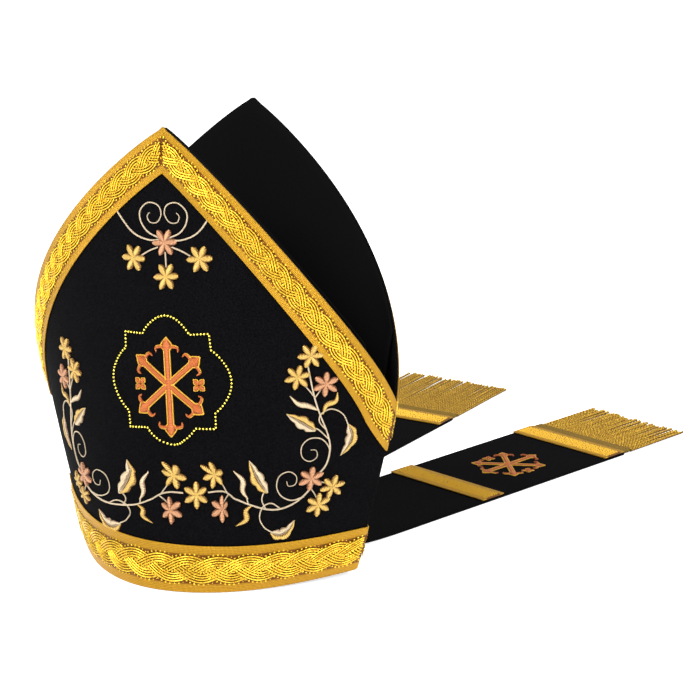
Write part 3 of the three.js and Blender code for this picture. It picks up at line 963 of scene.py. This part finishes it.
# Thread and middle line of each narrow leaf of one colour, and its widths at the second and
# fourth of the five places where a width is given.
sprigs = [
    (silver, [(98, 112), (91, 116), (85, 118), (80, 124)], 3.2, 2.6),
    (gold, [(100, 109), (103, 115), (109, 117), (110.5, 123)], 3.0, 2.8),
    (silver, [(47, 57), (44, 63), (44.5, 70), (39, 77)], 3.0, 2.6),
    (gold, [(49.5, 52.5), (45, 49), (45, 43), (38, 39.5)], 3.0, 2.8),
]
for mirror in (1, -1):
    for thread, centre, turn, size in flowers:
        sew_flower(thread, centre, mirror, turn, size)
    stems.cord(garland, 0.6, mirror, steps=110)
    for branch in branches:
        stems.cord(branch, 0.45, mirror, steps=26)
    for scroll in scrolls:
        stems.cord(scroll, 0.5, mirror, steps=52, taper=True)
    for vein, width, silver_side in leaves:
        sew_leaf(vein, width, mirror, silver_side)
    for thread, spine, second_width, fourth_width in sprigs:
        thread.satin(spine, [0.8, second_width, 4.2, fourth_width, 0.4], 0.9, mirror=mirror)

gold.make("gold_flowers_and_leaves", gold_silk, "galloon")
rose.make("rose_gold_flowers", rose_silk, "galloon")
silver.make("silver_leaves", silver_silk, "galloon")
stems.make("couched_stems", stem_cord, "galloon")

# The medallion: a line of small bright gilt beads, a square with a lobe on each side.
medallion_half_width, medallion_bottom, medallion_top = 31.0, 105.3, 167.5
lobe_foot, lobe_foot_side = 17.3, 10.6
top_lobe_depth, side_lobe_depth, foot_lobe_depth = 12.2, 12.2, 10.6
bead_pitch = 2.35
small_bead_radius = 0.84

brass_bead, _, bead_shader = new_material("bright_gilt_glass_bead", Metallic=0.85, Roughness=0.22)
bead_shader.inputs["Base Color"].default_value = linear("#E6D45A")


def lobe(start, end, depth):
    """An arc from start to end that stands out by depth on its left."""
    start, end = np.array(start, float), np.array(end, float)
    share = np.linspace(0, 1, 24)[:, None]
    out = np.array([-(end - start)[1], (end - start)[0]])
    out /= np.linalg.norm(out)
    bulge = np.sin(share * math.pi) ** 0.8 * depth
    return start + (end - start) * share + out * bulge


right, low_edge, high_edge = medallion_half_width, medallion_bottom, medallion_top
side_edge, low_corner, high_corner = right + 0.5, low_edge + lobe_foot_side, high_edge - lobe_foot_side
low_line, high_line = low_edge + 0.6, high_edge - 0.6
outline = np.concatenate([
    [(-right, high_edge), (-lobe_foot, high_line)],
    lobe((-lobe_foot, high_line), (lobe_foot, high_line), top_lobe_depth),
    [(lobe_foot, high_line), (right, high_edge), (side_edge, high_corner)],
    lobe((side_edge, high_corner), (side_edge, low_corner), side_lobe_depth),
    [(side_edge, low_corner), (right, low_edge), (lobe_foot, low_line)],
    lobe((lobe_foot, low_line), (-lobe_foot, low_line), foot_lobe_depth),
    [(-lobe_foot, low_line), (-right, low_edge), (-side_edge, low_corner)],
    lobe((-side_edge, low_corner), (-side_edge, high_corner), side_lobe_depth),
    [(-side_edge, high_corner), (-right, high_edge)],
])
outline_run = running_length(outline)
bead_count = int(outline_run[-1] / bead_pitch)
bead_spots = np.arange(bead_count) / bead_count * outline_run[-1]
bead_uv = np.stack([np.interp(bead_spots, outline_run, outline[:, k]) for k in (0, 1)], 1)


def round_beads(centres, ups, radius):
    """Round beads of eight sides and six belts."""
    belts, around = np.linspace(0, math.pi, 7), np.linspace(0, math.tau, 9)[:-1]
    ball = np.array([(math.cos(b), math.sin(b) * math.cos(a), math.sin(b) * math.sin(a))
                     for b in belts for a in around])
    corner = np.arange(ball.shape[0]).reshape(len(belts), len(around))
    beside = np.roll(corner, -1, axis=1)
    quads = np.stack([corner[:-1], corner[1:], beside[1:], beside[:-1]], -1).reshape(-1, 4)
    parts = []
    for centre, up in zip(centres, ups):
        up = up / np.linalg.norm(up)
        across = np.cross(up, (0.3, 0.5, 0.8))
        across /= np.linalg.norm(across)
        parts.append((centre + radius * ball @ np.stack([up, across, np.cross(up, across)]), quads))
    return join_parts(parts)


bead_centres = sewn_on_front(bead_uv[:, 0], bead_uv[:, 1], np.full(bead_count, 0.8))
bead_ups = sewn_on_front(bead_uv[:, 0], bead_uv[:, 1], np.full(bead_count, 1.8)) - bead_centres
points, faces = round_beads(bead_centres, bead_ups, small_bead_radius)
make_mesh("medallion_beads", metres(points), faces.tolist(), brass_bead)

# The cross: a long stem with a fleury foot and head over a fleury saltire, each bar filled with
# rust-orange satin stitch and edged with a raised pale gilt cord, with a small rosette each side.
rust_silk = thread_material("rust_orange_satin_stitch", "#7A2E04", "#B85E18", 0.25, 0.45)
pale_gilt = thread_material("pale_gilt_edging_cord", "#94640E", "#E8B43C", 0.6, 0.36)


def sew_bar(fill, edging, foot, tip, width, scale=1.0):
    """One arm of the cross, ending in three leaves at its tip."""
    foot, tip = np.array(foot, float), np.array(tip, float)
    along = (tip - foot) / np.linalg.norm(tip - foot)
    aside = np.array([-along[1], along[0]]) * width
    along = along * scale
    neck = tip - along * 7.5
    fill.satin([foot, neck], [width * 0.85, width, width * 0.9, width * 1.15], 0.9, ridge=0, steps=26)
    leaf_widths = [width * 1.1, width * 2.0, width * 1.2, 0.4]
    fill.satin([neck - along * 1.5, tip], leaf_widths, 1.1, ridge=0, steps=14)
    for side in (aside, -aside):
        edging.cord([neck - along + side * 0.5, neck + along * 2.2 + side, tip], 0.5 * scale, steps=14)
        curl = [neck + side * 0.3, neck + along * 1.2 + side * 1.15,
                neck + along * 0.2 + side * 1.95, neck - along * 2.4 + side * 1.9]
        fill.satin(curl, [1.0 * scale, 2.3 * scale, 2.2 * scale, 0.7 * scale], 0.9, ridge=0, steps=12)
        edging.cord([p + along * 0.9 for p in curl], 0.45 * scale, steps=14)
        edging.cord([foot + side / 2, neck + side / 2], 0.5 * scale, steps=18)


def sew_cross(fill, edging, centre, scale=1.0):
    """Six arms round a centre, and a small four-petalled rosette on each side of it."""
    centre = np.array(centre, float)

    def at(u, v):
        return centre + np.array([u, v]) * scale

    for hand in (1, -1):
        sew_bar(fill, edging, at(0, 0), at(23.5 * hand, 18.5), 4.0 * scale, scale)
        sew_bar(fill, edging, at(0, 0), at(23.5 * hand, -19), 4.0 * scale, scale)
    sew_bar(fill, edging, at(0, 6), at(0, 31), 4.2 * scale, scale)
    sew_bar(fill, edging, at(0, 6), at(0, -34), 4.2 * scale, scale)
    rosette_widths = [0.8 * scale, 3.4 * scale, 3.0 * scale, 0.5]
    for hand in (1, -1):
        rosette = at(21.5 * hand, 0)
        for angle in math.pi / 4 + math.tau * np.arange(4) / 4:
            way = np.array([math.cos(angle), math.sin(angle)]) * scale
            aside = np.array([-way[1], way[0]])
            fill.satin([rosette + way * 0.4, rosette + way * 5.0], rosette_widths, 0.9, ridge=0, steps=12)
            for side in (aside, -aside):
                petal = [rosette + way * 0.6, rosette + way * 2.8 + side * 1.8, rosette + way * 5.2]
                edging.cord(petal, 0.38 * scale, steps=10)


cross_fill = Stitching(sewn_on_front)
cross_edging = Stitching(sewn_on_front)
sew_cross(cross_fill, cross_edging, (0, 134))
cross_fill.make("front_cross_fill", rust_silk, "galloon")
cross_edging.make("front_cross_edging", pale_gilt, "galloon")


# ---- Lappets ----
# Two tails of black velvet lined with cloth, sewn to the back rim braid at the top. They come
# down the braid and lie flat behind the mitre. Each has two gold stripes and a gold fringe.
lappet_width, lappet_top_width, lappet_thickness = 90, 70, 2
lappet_sewn_height, lappet_settle = 27, 52
stripe_width, stripe_thickness = 21.5, 1
heading_width, heading_thickness = 10, 2.6
piece_gap = 0.3
heading_cord_spacing, heading_cord_wave, heading_cord_radius = 1.4, 0.45, 0.8
stripe_selvage, pebble_pitch, pebble_row_pitch, pebble_radius = 4.2, 1.5, 1.25, 0.8
fringe_cord_count, fringe_cord_radius = 41, 1.0
fringe_twist_pitch, fringe_step = 7.0, 0.55
fringe_raggedness, fringe_drift = 2.2, 0.9
fringe_swell, fringe_swell_length = 0.25, 3.5
fringe_seed, pebble_seed = 11, 7
# The lowest that any cloth reaches, so that it lies on the floor and not in it.
floor_clearance = 0.02
lappet_cross_scale = 0.9
lappets = [
    {"name": "lappet_right", "top_x": 44, "start": (45, 80), "heading": 16.2,
     "stripes": (107, 241), "length": 263, "fringe": 61.5, "cross": (3, 181)},
    {"name": "lappet_left", "top_x": -47, "start": (-44, 80), "heading": 2.3,
     "stripes": (102, 236), "length": 258, "fringe": 83, "cross": (3, 176)},
]


# Heading: dull gilt and olive silk woven together, so it has less shine than the braid.
dull_gilt = thread_material("dull_gilt_and_olive_silk_heading", "#3E2C06", "#A88424", 0.5, 0.5)
# Pebbled middle of the stripes: looped gilt thread, softer and more even in its light than the
# cords of the plait.
pebbled_gilt, _, pebbled_shader = new_material("looped_gilt_thread", Metallic=0.5, Roughness=0.5)
pebbled_shader.inputs["Base Color"].default_value = linear("#DDB030")
# Fringe: gilt metal thread wound on a silk core and twisted in pairs. Its colour is painted
# bright on its turns, a painted highlight, and deep orange between them, a painted shade.
fringe_gilt, fringe_tree, fringe_shader = new_material(
    "twisted_gilt_fringe_cord", Metallic=0.85, Roughness=0.38,
)
# Windings 0.5 mm apart, drawn at 0.7 mm.
fringe_windings = add_grain(fringe_tree, 1500.0, 2.0)
# The windings also set the colour: painted highlight on their crowns, painted shade between.
fringe_colour = add_ramp(fringe_tree, fringe_windings, 0.36, "#744404", 0.7, "#F5C83C")
# Low down, between the cords, the thread is in its neighbours' shade.
fringe_place = add_node(fringe_tree, "ShaderNodeTexCoord")
fringe_split = add_node(fringe_tree, "ShaderNodeSeparateXYZ",
                        links={"Vector": fringe_place.outputs["Object"]})
fringe_height = add_node(fringe_tree, "ShaderNodeMapRange",
                         inputs={"From Min": 0.0007, "From Max": 0.0018, "To Min": 1.0, "To Max": 0.0},
                         links={"Value": fringe_split.outputs["Z"]})
fringe_shade = add_node(fringe_tree, "ShaderNodeMix", {"data_type": "RGBA"}, inputs={7: linear("#3E2402")},
                        links={0: fringe_height.outputs["Result"], 6: fringe_colour})
fringe_tree.links.new(fringe_shade.outputs[2], fringe_shader.inputs["Base Color"])
add_bump(fringe_tree, fringe_shader, fringe_windings, 0.5, 0.0002)


def lappet_axes(lappet):
    heading = math.radians(lappet["heading"])
    along = np.array([math.sin(heading), math.cos(heading), 0.0])
    across = np.array([math.cos(heading), -math.sin(heading), 0.0])
    return np.array([*lappet["start"], 0.0]), along, across


def laid_lappet(lappet):
    """The flat stretch of a lappet: c across it from its middle, a along it, h above its face."""
    start, along, across = lappet_axes(lappet)

    def to_surface(c, a, h):
        c, a, h = np.broadcast_arrays(np.asarray(c, float), np.asarray(a, float), np.asarray(h, float))
        up = np.array([0, 0, 1.0])
        return start + c[..., None] * across + a[..., None] * along + (h + lappet_thickness)[..., None] * up

    return to_surface


def lappet_columns(lappet):
    """Lines down the lappet's middle layer, from the sewn top to the fringe."""
    start, along, across = lappet_axes(lappet)
    clearance = 0.3 + 1.2 + 0.6 + lappet_thickness / 2
    floor_level = np.array([0, 0, lappet_thickness / 2])
    columns = []
    for s in np.linspace(-1, 1, 41):
        top_x = lappet["top_x"] + s * lappet_top_width / 2

        def on_wall(z):
            turn = np.arcsin(top_x / half_width(z))
            return crown_points(turn, z, BACK) + crown_normals(turn, z, BACK) * clearance

        edge = start + floor_level + across * s * lappet_width / 2
        landing, end = edge + along * lappet_settle, edge + along * lappet["length"]
        sewn, low = on_wall(np.float64(lappet_sewn_height)), on_wall(np.float64(8))
        first = low + (low - sewn) * 0.45
        first[2] = lappet_thickness / 2
        second = landing - along * lappet_settle * 0.6
        t = np.linspace(0, 1, 22)[:, None]
        near, far = 3 * (1 - t) ** 2 * t, 3 * (1 - t) * t ** 2
        settle = (1 - t) ** 3 * low + near * first + far * second + t ** 3 * landing
        drop = low + (sewn - low) * np.linspace(1, 0, 7)[:-1, None]
        lie = landing + (end - landing) * np.linspace(0, 1, 60)[1:, None]
        columns.append(np.concatenate([drop, settle, lie]))
    return np.array(columns)


for lappet in lappets:
    name = lappet["name"]
    columns = lappet_columns(lappet)
    beside, forward = np.gradient(columns, axis=0), np.gradient(columns, axis=1)
    normals = np.cross(beside, forward)
    normals /= np.linalg.norm(normals, axis=-1, keepdims=True)
    shell, faces = cloth_shell(columns, normals, -lappet_thickness / 2, lappet_thickness / 2)
    shell[:, 2] = np.maximum(shell[:, 2], floor_clearance)
    velvet_tail = make_mesh(f"{name}_velvet", metres(shell), faces.tolist(), velvet)
    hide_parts(name)

    # Gold stripes: the same galloon, narrower, with a pebbled middle between plain selvages.
    surface = laid_lappet(lappet)
    up = np.array([0, 0, 1.0])
    stripe_pieces = []
    for number, stripe_start in enumerate(lappet["stripes"], 1):
        s, w = np.meshgrid(np.linspace(-lappet_width / 2, lappet_width / 2, 46),
                           np.linspace(0, stripe_width, 12), indexing="ij")
        points = surface(s.ravel(), stripe_start + w.ravel(), 0).reshape(*s.shape, 3)
        shell, faces = cloth_shell(points, np.broadcast_to(up, points.shape),
                                   piece_gap, piece_gap + stripe_thickness)
        # The stripe's middle, under the pebbles, takes the ground's painted shade.
        strip = make_mesh(f"{name}_stripe_{number}_ground", metres(shell), faces.tolist(), ground)
        give_uv(strip, shell_coordinates(s), shell_coordinates(w * braid_width / stripe_width))
        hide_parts(f"{name}_stripe_{number}")
        rng = np.random.default_rng(pebble_seed + number)
        pebble_rows = np.arange(stripe_selvage, stripe_width - stripe_selvage, pebble_row_pitch)
        pebble_columns = np.arange(1 - lappet_width / 2, lappet_width / 2 - 1, pebble_pitch)
        grid_c, grid_a = np.meshgrid(pebble_columns, pebble_rows, indexing="ij")
        grid_c = grid_c + pebble_pitch / 2 * (np.arange(len(pebble_rows)) % 2)[None]
        grid_c = grid_c + rng.normal(0, 0.18, grid_c.shape)
        grid_a = grid_a + rng.normal(0, 0.15, grid_a.shape)
        centres = surface(grid_c.ravel(), stripe_start + grid_a.ravel(), piece_gap + stripe_thickness)
        points, faces = beads(centres, np.broadcast_to(up, centres.shape), pebble_radius, flat=0.9)
        pebbles = make_mesh(f"{name}_stripe_{number}_pebbles", metres(points), faces.tolist(),
                            pebbled_gilt, smooth=False)
        stripe_pieces += [strip, pebbles]

    # The fringe's woven heading, gilt and dull green silk together.
    heading_from = lappet["length"] + piece_gap
    cords = []
    for a in np.arange(heading_cord_radius, heading_width, heading_cord_spacing):
        c = np.linspace(-lappet_width / 2, lappet_width / 2, 150)
        wave = heading_cord_wave * np.sin(math.tau * c / 3.0 + 2.2 * a)
        rise = 0.25 * np.cos(math.tau * c / 1.5 + 3.1 * a)
        centre = surface(c, heading_from + a + wave, rise - lappet_thickness + heading_thickness - 0.9)
        cords.append(tube(centre, np.broadcast_to(up, centre.shape), heading_cord_radius, 6))
    points, faces = join_parts(cords)
    weave = make_mesh(f"{name}_heading_weave", metres(points), faces.tolist(), dull_gilt)
    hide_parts(f"{name}_fringe_heading")

    # The fringe: doubled gilt cords, twisted on themselves, hanging from the heading side by side.
    fringe_from = heading_from + heading_width - 1.5
    fringe_half = lappet_width / 2 - 1.1
    cord_middles = np.linspace(-fringe_half, fringe_half, fringe_cord_count)
    random_draws = np.random.default_rng(fringe_seed + len(name))
    cords = []
    fringe_length = lappet["fringe"]
    for middle in cord_middles:
        end = fringe_from + fringe_length + 0.5 + random_draws.uniform(-fringe_raggedness, fringe_raggedness)
        a = np.arange(fringe_from, end, fringe_step)
        share = (a - fringe_from) / fringe_length
        drift = random_draws.normal(0, fringe_drift) * share ** 1.5
        sway = random_draws.uniform(0.05, 0.35) * np.sin(math.tau * share * random_draws.uniform(0.6, 1.6)
                                                         + random_draws.uniform(0, math.tau))
        spine = surface(middle + drift + sway * share, a, fringe_cord_radius - lappet_thickness + 0.05)
        twist = math.tau * a / fringe_twist_pitch + random_draws.uniform(0, math.tau)
        angle = np.linspace(0, math.tau, 11)
        lobes = 0.5 + 0.5 * np.abs(np.cos(angle[None] - twist[:, None]))
        # The cut end swells a little where its threads come apart.
        swell = 1 + fringe_swell * np.clip((a - end) / fringe_swell_length + 1, 0, 1)
        reach = fringe_cord_radius * lobes * swell[:, None]
        _, along, across = lappet_axes(lappet)
        rings = (spine[:, None] + reach[..., None] * (np.cos(angle)[None, :, None] * across
                                                    + np.sin(angle)[None, :, None] * up))
        rings[..., 2] = np.maximum(rings[..., 2], floor_clearance)
        cap = np.repeat(rings[-1:].mean(1, keepdims=True), 11, 1) + along * 0.2
        rings = np.concatenate([rings, cap])
        cords.append((rings.reshape(-1, 3), grid_faces(len(rings), 11)))
    points, faces = join_parts(cords)
    fringe = make_mesh(f"{name}_fringe_cords", metres(points), faces.tolist(), fringe_gilt)
    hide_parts(f"{name}_fringe")

    # The same cross as on the front, a little smaller, with its head toward the crown.
    def sewn_on_lappet(u, v, lift, surface=surface, place=lappet["cross"]):
        return surface(place[0] - u, place[1] - v, lift)

    tail_fill, tail_edging = Stitching(sewn_on_lappet), Stitching(sewn_on_lappet)
    sew_cross(tail_fill, tail_edging, (0, 0), lappet_cross_scale)
    cross_piece = tail_fill.make(f"{name}_cross_fill", rust_silk, "galloon")
    edging_piece = tail_edging.make(f"{name}_cross_edging", pale_gilt, "galloon")
